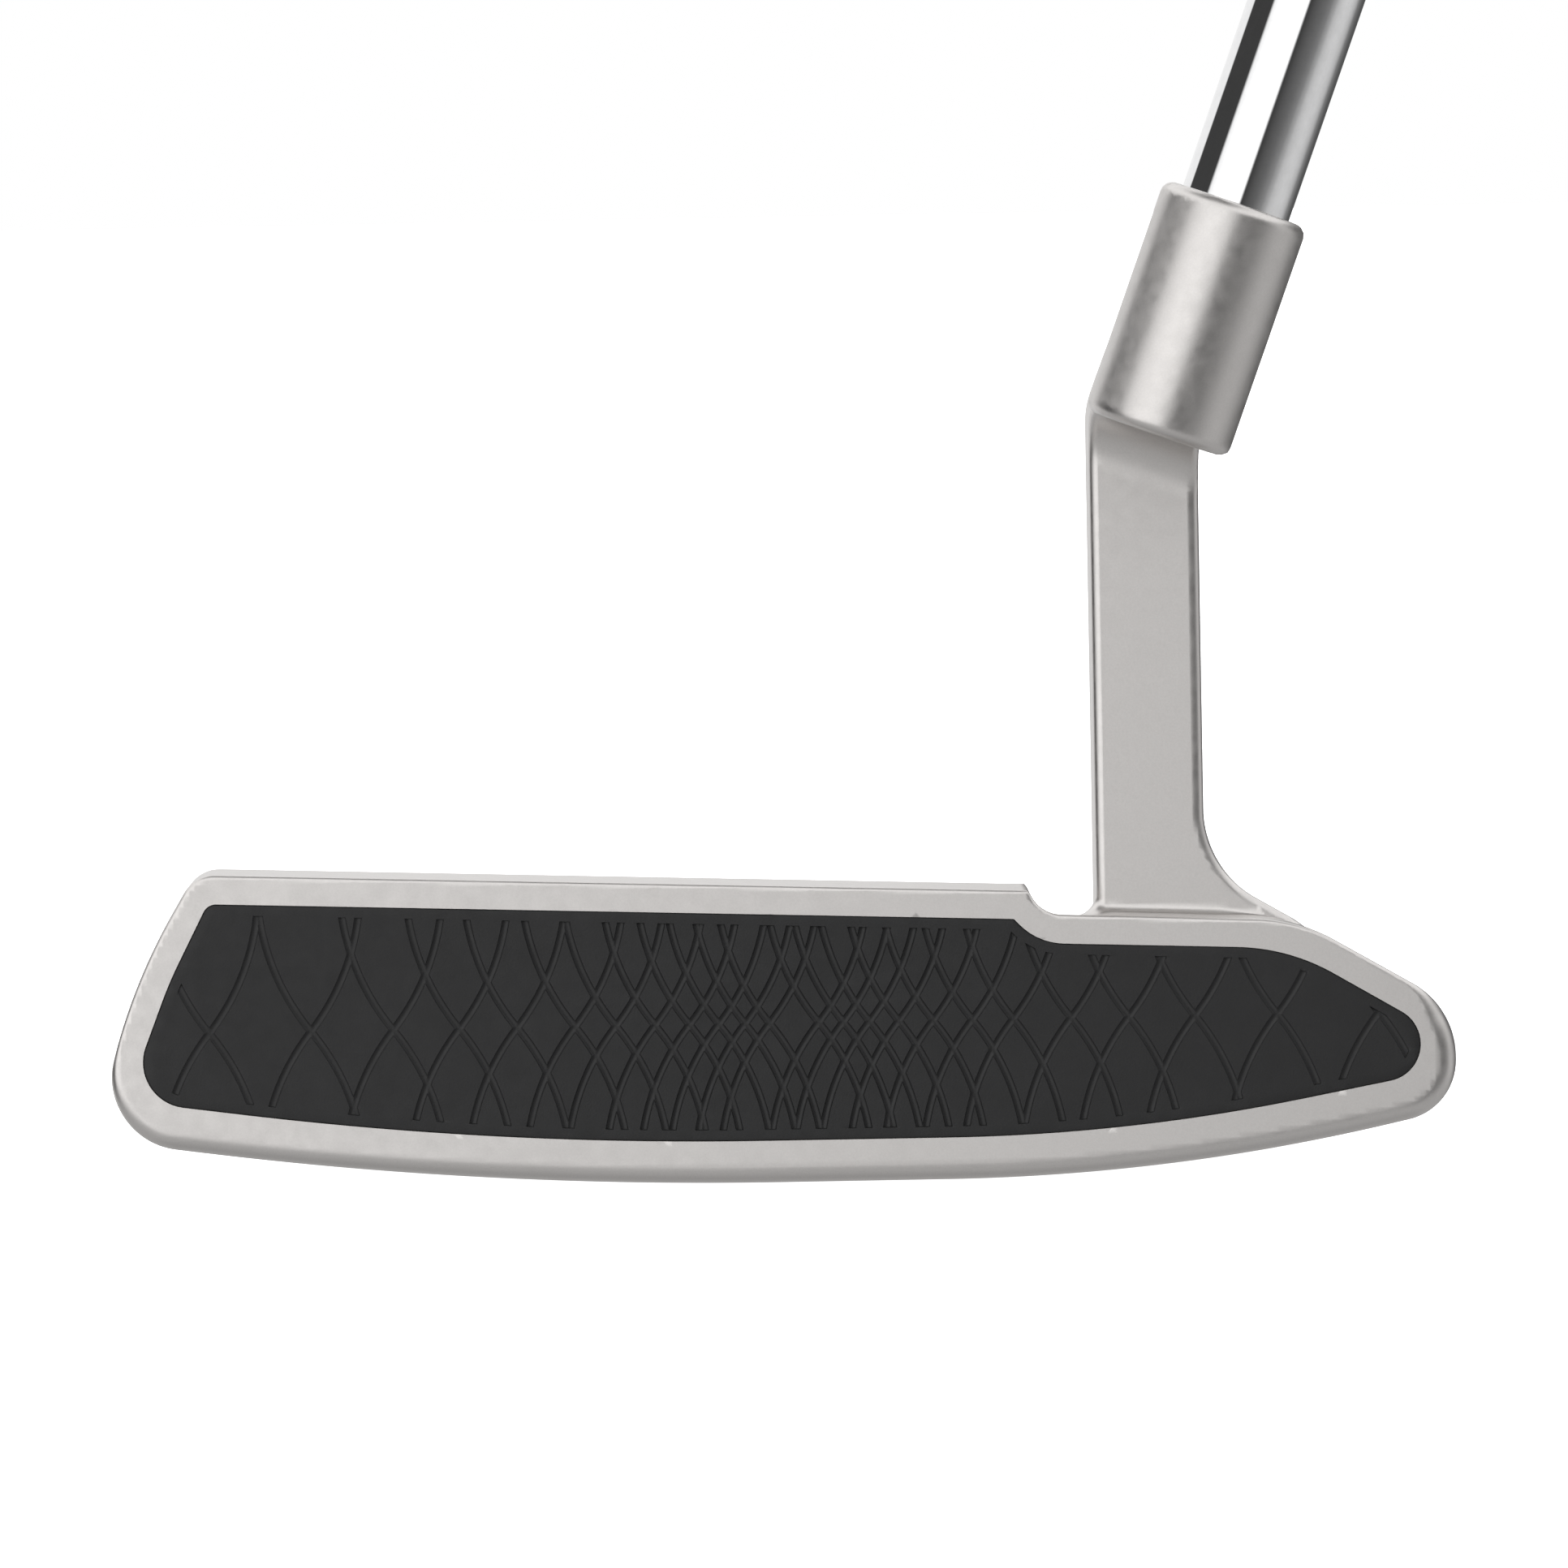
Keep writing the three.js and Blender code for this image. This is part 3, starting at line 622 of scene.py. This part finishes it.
SATIN = metal("satin_steel", (0.655, 0.635, 0.62), 0.37, 5200, 0.35)
CHROME = metal("chrome_plate", (0.90, 0.90, 0.905), 0.035, 900, 0.0, 0.01)
PLAIN = metal("plain_steel", (0.42, 0.43, 0.44), 0.33, 2400, 0.2)
BRASS = metal("brass", (0.62, 0.44, 0.2), 0.3, 2400, 0.15)
BLACK = polymer("black_elastomer", (0.0105, 0.0105, 0.011), 0.46, 6500, 0.25, Specular_IOR_Level=0.4)
FIRM = polymer("firm_elastomer", (0.055, 0.058, 0.064), 0.5, 5000, 0.2)
TAPE = polymer("bond_tape", (0.66, 0.6, 0.42), 0.7, 3000, 0.2)
PAPER = polymer("grip_tape", (0.6, 0.55, 0.42), 0.8, 2500, 0.3)
ACETAL = polymer("white_acetal", (0.74, 0.73, 0.69), 0.42, 2500, 0.1)
RUBBER = polymer("grip_rubber", (0.013, 0.013, 0.014), 0.62, 3600, 0.5)
CAP = polymer("cap_plastic", (0.011, 0.011, 0.012), 0.38, 2800, 0.2)
SEAL = polymer("seal_rubber", (0.01, 0.01, 0.01), 0.5, 3000, 0.2)
PAINT = polymer("sight_paint", (0.72, 0.72, 0.70), 0.4, 4000, 0.1)

SLOT_MATERIALS = {
    "satin_steel": SATIN, "black_elastomer": BLACK, "firm_elastomer": FIRM, "bond_tape": TAPE,
    "chrome_shaft": CHROME, "plain_steel": PLAIN, "brass": BRASS, "white_acetal": ACETAL,
    "grip_tape": PAPER, "grip_rubber": RUBBER, "cap_plastic": CAP, "seal_rubber": SEAL,
}
for part in frame["record"]["subparts"]:
    cad_mesh = frame["nodes"][part["node"]].data
    cad_mesh.materials.clear()
    cad_mesh.materials.append(SLOT_MATERIALS[part["material_slot"]])

# ----------------------------------------------------------------------------------------------------
# The head
# ----------------------------------------------------------------------------------------------------


def pocketed_distance(x, depth, z):
    """The head's signed distance with the insert's pocket taken out."""
    pocket = np.maximum(INSERT.distance(x, z), depth - POCKET_DEPTH)
    return np.maximum(head_distance(x, depth, z), -pocket)


def cut_pocket(head):
    """Takes the insert's pocket out of the head, with a crisp edge all round."""
    loop = loop_points(INSERT, 0, 0.8)
    count = len(loop)
    rings = [np.stack([loop[:, 0], np.full(count, depth), loop[:, 1]], 1) for depth in (-1, POCKET_DEPTH)]
    points = blade_to_frame(np.concatenate(rings)) * MM
    walls = [(k, count + k, count + (k + 1) % count, (k + 1) % count) for k in range(count)]
    ends = [tuple(range(count)), tuple(range(count, 2 * count))[::-1]]
    mesh = bpy.data.meshes.new("pocket")
    mesh.from_pydata([tuple(p) for p in points], [], walls + ends)
    tool = bpy.data.objects.new("pocket", mesh)
    bpy.context.scene.collection.objects.link(tool)
    modifier = head.modifiers.new("pocket", "BOOLEAN")
    modifier.operation = "DIFFERENCE"
    modifier.solver = "EXACT"
    modifier.object = tool
    evaluated = head.evaluated_get(bpy.context.evaluated_depsgraph_get())
    cut = bpy.data.meshes.new_from_object(evaluated)
    head.modifiers.clear()
    head.data = cut
    bpy.data.objects.remove(tool)


def build_head():
    step = 0.47
    fine = 0.18
    xs = spaced(-58.13, 59.0, step)
    ys = spaced(-17.07, DEPTH + 2.2, step, [(-0.3, 2.4, fine)])
    zs = spaced(-0.61, 86.5, step)
    points, faces = dual_contour(head_distance, xs, ys, zs)
    head = mesh_object("head", blade_to_frame(points), faces, SATIN, "head", ["head_casting"])
    cut_pocket(head)
    true_normals(head, upright(pocketed_distance), frame_to_blade)


GROOVE_MIDDLE = 13.8                # the grooves turn over at this height
GROOVE_CENTRE = 1.1                 # and lie closest together here
GROOVE_STEPS = (2.1, 2.1, 2.25, 2.5, 2.95, 3.35, 3.5, 4.95, 4.95, 5.65, 7.05, 8.7)
GROOVE_RADIUS = 19.8
GROOVE_TILT = math.radians(39)
GROOVE_HALF = 0.325                 # half the width
GROOVE_MARGIN = 0.93                # the grooves end this far inside the insert's edge
INSERT_EDGE = 0.15
INSERT_THICKNESS = 2.4

groove_offsets = np.cumsum(GROOVE_STEPS)
GROOVES = [(middle, lean) for middle in np.concatenate([GROOVE_CENTRE - groove_offsets,
                                                        GROOVE_CENTRE + groove_offsets])
           for lean in (-1, 1)]


def groove_course(z):
    """A groove's sideways shift at height z, and the sine and cosine of its tilt there."""
    rise = z - GROOVE_MIDDLE
    sine = math.sin(GROOVE_TILT) - np.abs(rise) / GROOVE_RADIUS
    cosine = np.sqrt(1 - sine ** 2)
    return GROOVE_RADIUS * (cosine - math.cos(GROOVE_TILT)) * np.sign(rise), sine, cosine


def insert_cut(x, z):
    """How far the insert's face is cut back at (x, z)."""
    shift, _, cosine = groove_course(z)
    inside = -INSERT.distance(x, z)
    cut = np.zeros(np.shape(x))
    for middle, lean in GROOVES:
        deepest = 0.14 + 0.08 * math.exp(-((middle - GROOVE_CENTRE) / 28) ** 2)
        off = (x - middle - lean * shift) * cosine / GROOVE_HALF
        cut = np.maximum(cut, deepest * np.sqrt(np.maximum(1 - off ** 2, 0)))
    cut *= np.clip((inside - GROOVE_MARGIN) / 0.05, 0, 1)
    edge = np.clip(INSERT_EDGE - inside, 0, INSERT_EDGE)
    return cut + INSERT_EDGE - np.sqrt(INSERT_EDGE ** 2 - edge ** 2)


def build_insert():
    points, edges = [], []

    def chain(line, closed=False):
        first = len(points)
        points.extend(line)
        edges.extend((i, i + 1) for i in range(first, len(points) - 1))
        if closed:
            edges.append((len(points) - 1, first))

    rim = loop_points(INSERT, 0.03, 0.8)
    chain(rim, True)
    for inset in (0.05, 0.09, INSERT_EDGE, GROOVE_MARGIN, GROOVE_MARGIN + 0.05):
        chain(loop_points(INSERT, inset, 0.8), True)
    heights = GROOVE_MIDDLE + np.arange(-34, 40) * 0.3
    shift, sine, cosine = groove_course(heights)
    for middle, lean in GROOVES:
        x = middle + lean * shift
        inside = -INSERT.distance(x, heights) > 0.3
        for across in (-1, -0.94, -0.75, -0.4, 0, 0.4, 0.75, 0.94, 1):
            off = across * GROOVE_HALF
            line = np.stack([x + off * cosine, heights - lean * off * sine], 1)[inside]
            if len(line) > 1:
                chain(line)
    flat, _, triangles, *_ = delaunay_2d_cdt([Vector(p) for p in points], edges, [], 0, 1e-4)
    flat = np.array([tuple(v) for v in flat])
    triangles = np.array(triangles)
    middle = flat[triangles].mean(1)
    triangles = triangles[INSERT.distance(middle[:, 0], middle[:, 1]) < -0.0302]
    cut = insert_cut(flat[:, 0], flat[:, 1])
    front = np.stack([flat[:, 0], INSERT_RECESS + cut, flat[:, 1]], 1)

    count = len(rim)
    start = len(front)
    back = INSERT_RECESS + INSERT_THICKNESS
    top = np.stack([rim[:, 0], INSERT_RECESS + insert_cut(rim[:, 0], rim[:, 1]), rim[:, 1]], 1)
    bottom = top.copy()
    bottom[:, 1] = back
    centre = np.array([[0, back, 13]])
    k = np.arange(count)
    after = (k + 1) % count
    walls = np.concatenate([
        np.stack([start + k, start + count + k, start + count + after], 1),
        np.stack([start + k, start + count + after, start + after], 1),
        np.stack([start + count + k, np.full(count, start + 2 * count), start + count + after], 1),
    ])
    every = np.concatenate([front, top, bottom, centre])
    a, b, c = (front[triangles[:, i]] for i in range(3))
    facing = np.cross(b - a, c - a)[:, 1]
    triangles[facing > 0] = triangles[facing > 0][:, ::-1]
    mesh_object("insert", blade_to_frame(every), np.concatenate([triangles, walls]), BLACK,
                "head", ["face_insert"], smooth_angle=34)


def sight_distance(x, depth, z):
    """The paint in the sight line's groove, a little below the flange's top."""
    flange = round_common(PLAN.distance(x, depth), FLANGE.distance(depth, z), BACK_EDGE) + 0.22
    floor = SIGHT_FLOOR - SIGHT_FALL * (depth - SIGHT_START) - z
    paint = np.maximum(np.abs(x) - 0.59, floor - 0.02)
    return np.maximum(np.maximum(paint, SIGHT_START + 0.02 - depth), flange)


def build_sight_line():
    xs = spaced(-0.85, 0.85, 0.12)
    ys = spaced(10.1, 28.5, 0.3)
    zs = spaced(3.6, 9.9, 0.12)
    points, faces = dual_contour(sight_distance, xs, ys, zs)
    line = mesh_object("sight_line", blade_to_frame(points), faces, PAINT, "head")
    true_normals(line, upright(sight_distance), frame_to_blade)


# ----------------------------------------------------------------------------------------------------
# The shaft and the grip, in stations along the shaft's axis
# ----------------------------------------------------------------------------------------------------

CLUB_LENGTH = 889
GRIP_LENGTH = 270
MOUTH = CLUB_LENGTH - GRIP_LENGTH + 2
SHAFT_R = 6.35
WALL = 0.9
TIP_END = 71.5
TAPER = (236, 530)
SHAFT_TOP = 760
TUBE_INNER, TUBE_R = 7.6, 8.3
SLEEVE_BORE = 9.2


def build_shaft():
    turned("shaft", [
        (TIP_R - WALL, TIP_END, 0.1),
        (TIP_R, TIP_END, 0.6),
        (TIP_R, TAPER[0], 60),
        (SHAFT_R, TAPER[1], 60),
        (SHAFT_R, SHAFT_TOP, 0.15),
        (SHAFT_R - WALL, SHAFT_TOP, 0.15),
        (SHAFT_R - WALL, TAPER[1], 60),
        (TIP_R - WALL, TAPER[0], 60),
    ], 160, CHROME, "head", ["lower_shaft"])


def build_mouth():
    inner, outer = SHAFT_R + 0.15, TUBE_INNER - 0.3
    low = MOUTH - 2.8
    turned("guide_bush", [
        (inner, low, 0.35),
        (TUBE_R, low, 0.4),
        (TUBE_R, MOUTH - 0.3, 0.1),
        (outer, MOUTH - 0.3, 0.1),
        (outer, MOUTH + 26, 0.3),
        (inner, MOUTH + 26, 0.3),
        (inner, MOUTH + 1.2, 0.1),
        (inner + 0.6, MOUTH + 1.2, 0.1),
        (inner + 0.6, MOUTH - 0.4, 0.1),
        (inner, MOUTH - 0.4, 0.1),
    ], 96, ACETAL, "grip", ["guide_bushing"])


def build_cap():
    rim = TUBE_INNER - 0.3
    face = SLEEVE_BORE + 1.6
    under = CLUB_LENGTH - 2.2
    turned("end_cap", [
        (2.4, CLUB_LENGTH - 12, 0.2),
        (rim, CLUB_LENGTH - 12, 0.4),
        (rim, CLUB_LENGTH - 5.7, 0.1),
        (SLEEVE_BORE - 0.3, CLUB_LENGTH - 5.7, 0.2),
        (SLEEVE_BORE - 0.3, under, 0.1),
        (face, under, 0.25),
        (face, CLUB_LENGTH, 0.9),
        (8.3, CLUB_LENGTH, 0.15),
        (8.1, CLUB_LENGTH - 0.35, 0.15),
        (7.5, CLUB_LENGTH - 0.35, 0.15),
        (7.3, CLUB_LENGTH, 0.15),
        (3.6, CLUB_LENGTH, 0.2),
        (2.4, CLUB_LENGTH - 1.0, 0.2),
    ], 128, CAP, "grip", ["butt_cap"])


def grip_ring(t, angle):
    """The grip's section at t along it: round with a flat for the thumbs, deeper behind near the butt."""
    side = 10.3 + 2.4 * smooth(0.1, 0.95, t)
    back = 10.3 + 1.2 * smooth(0.05, 0.5, t) + 6.2 * smooth(0.55, 0.93, t) - 1.6 * smooth(0.95, 1, t)
    flat = 10.0 + 0.9 * smooth(0.05, 0.9, t)
    c, s = np.cos(angle), np.sin(angle)
    deep = np.where(c > 0, back, side) * np.abs(c) ** 0.9
    soft = 0.5
    clipped = np.minimum(deep, flat - soft * np.logaddexp(0, (flat - deep) / soft))
    x = np.where(c > 0, deep, -np.maximum(clipped, 0))
    return x, side * np.sign(s) * np.abs(s) ** 0.95


def grip_pattern(t, s, angle):
    """Depth of the moulded grooves: crossing diagonals round the back, short ribs on the thumb flat."""
    ends = smooth(0.045, 0.055, t) * smooth(0.955, 0.945, t)
    turn = 20 * angle / (2 * math.pi)
    cuts = np.zeros(np.broadcast(s, angle).shape)
    for phase in (turn + s / 7.5, turn - s / 7.5):
        off = np.abs(phase - np.round(phase))
        cuts = np.maximum(cuts, smooth(0.17, 0.05, off))
    c = np.cos(angle)
    diagonals = cuts * smooth(-0.62, -0.56, c)
    ribs = s / 3.0
    off = np.abs(ribs - np.round(ribs))
    ribs = smooth(0.22, 0.08, off) * smooth(-0.86, -0.9, c)
    border = smooth(0.02, 0.005, np.abs(c + 0.74))
    return ends * (0.32 * diagonals + 0.22 * ribs) + 0.3 * border * ends


def build_grip():
    around = 176
    along = 540
    bottom, top = CLUB_LENGTH - GRIP_LENGTH - 2.5, CLUB_LENGTH - 2.5
    angle = np.arange(around) * 2 * math.pi / around
    rounding = 1.2
    edge = rounding * (1 - np.cos(np.linspace(0, math.pi / 2, 7)[1:]))
    s = np.concatenate([bottom + edge, np.linspace(bottom + rounding, top - rounding, along)[1:-1],
                        (top - edge)[::-1]])
    s = np.concatenate([[bottom], s, [top]])[:, None]
    t = (s - bottom) / (top - bottom)
    x, y = grip_ring(t, angle[None, :])
    near = np.clip(rounding - np.minimum(s - bottom, top - s), 0, rounding)
    back = rounding - np.sqrt(rounding ** 2 - near ** 2) + grip_pattern(t, s, angle[None, :])
    size = np.hypot(x, y)
    x, y = x * (1 - back / size), y * (1 - back / size)
    outside = np.stack([x, y, np.broadcast_to(s, x.shape)], -1)

    def circle(radius, station):
        return np.stack([radius * np.cos(angle), radius * np.sin(angle), np.full(around, station)], -1)

    seat = SLEEVE_BORE + 0.2
    inside = [circle(SLEEVE_BORE, top), circle(SLEEVE_BORE, top - 40), circle(SLEEVE_BORE, bottom + 3),
              circle(seat, bottom + 3), circle(seat, bottom)]
    rings = np.concatenate([outside, np.array(inside)])
    lofted("grip", rings, RUBBER, "grip", ["grip_sleeve"])


build_head()
build_insert()
build_sight_line()
build_shaft()
build_mouth()
build_cap()
build_grip()

# ----------------------------------------------------------------------------------------------------
# Camera, floor and light
# ----------------------------------------------------------------------------------------------------


def add_camera():
    data = bpy.data.cameras.new("camera")
    camera = bpy.data.objects.new("camera", data)
    bpy.context.scene.collection.objects.link(camera)
    bpy.context.scene.camera = camera
    distance, down, roll = 690 * MM, math.radians(4.4), math.radians(1.04)
    aim = (BLADE_ORIGIN + Vector((0.6, 0, 34.37))) * MM
    back = Vector((0, -math.cos(down), math.sin(down)))
    camera.location = aim + back * distance
    turn = (-back).to_track_quat("-Z", "Y").to_matrix().to_4x4()
    camera.matrix_world = Matrix.Translation(camera.location) @ turn @ Matrix.Rotation(-roll, 4, "Z")
    data.sensor_width = 36
    data.lens = 36 * distance / (133.7 * MM)
    data.clip_start, data.clip_end = 0.05, 50


def add_floor():
    mesh = bpy.data.meshes.new("floor")
    size = 12
    corners = [(-size, -size, 0), (size, -size, 0), (size, size, 0), (-size, size, 0)]
    mesh.from_pydata(corners, [], [(0, 1, 2, 3)])
    floor = bpy.data.objects.new("floor", mesh)
    floor.location.z = -0.0003
    bpy.context.scene.collection.objects.link(floor)
    mat = material("floor", (0.9, 0.9, 0.9), 0, 0.8, Emission_Color=(1, 1, 1, 1), Emission_Strength=1.0)
    mesh.materials.append(mat)
    floor.visible_glossy = False
    floor.visible_diffuse = False


# Brightness of the studio round the shaft's axis, by degrees from the front towards the heel
STUDIO = (
    (-180, 0.93), (-125, 0.93), (-121, 0.05), (-70, 0.05), (-65, 1.0), (-45, 1.35), (-24, 1.47), (2, 1.24),
    (6, 0.045), (17, 0.085), (34, 0.135), (50, 0.17), (60, 0.31), (67, 0.51), (77, 0.67), (86, 0.74),
    (98, 0.70), (112, 0.49), (125, 0.17), (146, 0.095), (176, 0.09), (180, 0.5),
)
STUDIO_TOP = 1.5


def add_world():
    world = bpy.data.worlds.new("studio")
    bpy.context.scene.world = world
    world.use_nodes = True
    nodes, links = world.node_tree.nodes, world.node_tree.links

    def node(kind, *sources, **settings):
        new = nodes.new(kind)
        for key, value in settings.items():
            setattr(new, key, value)
        for socket, source in zip(new.inputs, sources):
            if isinstance(source, bpy.types.NodeSocket):
                links.new(source, socket)
            elif source is not None:
                socket.default_value = source
        return new

    towards = node("ShaderNodeTexCoord").outputs["Generated"]

    def part(axis):
        return node("ShaderNodeVectorMath", towards, axis, operation="DOT_PRODUCT").outputs["Value"]

    aside = part((math.cos(LEAN), 0, -math.sin(LEAN)))
    ahead = part((0, -1, 0))
    up = part((0, 0, 1))
    angle = node("ShaderNodeMath", aside, ahead, operation="ARCTAN2").outputs[0]
    turn = node("ShaderNodeMapRange", angle, -math.pi, math.pi, 0.0, 1.0).outputs["Result"]
    ramp = node("ShaderNodeValToRGB", turn)
    stops = ramp.color_ramp.elements
    for degrees, level in STUDIO[1:-1]:
        stops.new((degrees + 180) / 360)
    for stop, (degrees, level) in zip(stops, STUDIO):
        stop.position = (degrees + 180) / 360
        stop.color = (level / STUDIO_TOP,) * 3 + (1,)

    def fade(source, start, end):
        new = node("ShaderNodeMapRange", source, start, end, 0.0, 1.0, interpolation_type="SMOOTHSTEP")
        return new.outputs["Result"]

    def mix(amount, first, second):
        new = node("ShaderNodeMix", data_type="FLOAT")
        for socket, source in zip((new.inputs[0], new.inputs[2], new.inputs[3]), (amount, first, second)):
            if isinstance(source, bpy.types.NodeSocket):
                links.new(source, socket)
            else:
                socket.default_value = source
        return new.outputs[0]

    level = mix(fade(up, 0.36, 0.5), ramp.outputs["Color"], 1.25 / STUDIO_TOP)
    level = mix(fade(up, 0.86, 0.96), level, 0.2 / STUDIO_TOP)
    level = mix(fade(up, -0.2, -0.5), level, 0.52 / STUDIO_TOP)
    level = mix(fade(up, -0.8, -1.0), level, 0.42 / STUDIO_TOP)
    seen = node("ShaderNodeLightPath").outputs["Is Camera Ray"]
    level = mix(seen, level, 1.0)
    background = nodes["Background"]
    links.new(level, background.inputs["Color"])
    strength = mix(seen, STUDIO_TOP, 1.0)
    links.new(strength, background.inputs["Strength"])


def add_key_light():
    data = bpy.data.lights.new("key", "AREA")
    data.shape = "RECTANGLE"
    data.size, data.size_y = 1.2, 0.9
    data.energy = 6
    light = bpy.data.objects.new("key", data)
    place, aim = Vector((-0.9, -1.4, 1.5)), Vector((0.1, 0, 0.2))
    turn = (aim - place).to_track_quat("-Z", "Y").to_matrix().to_4x4()
    light.matrix_world = Matrix.Translation(place) @ turn
    light.visible_camera = False
    light.visible_glossy = False
    bpy.context.scene.collection.objects.link(light)


add_camera()
add_floor()
add_world()
add_key_light()
bpy.context.scene.view_settings.view_transform = "Standard"
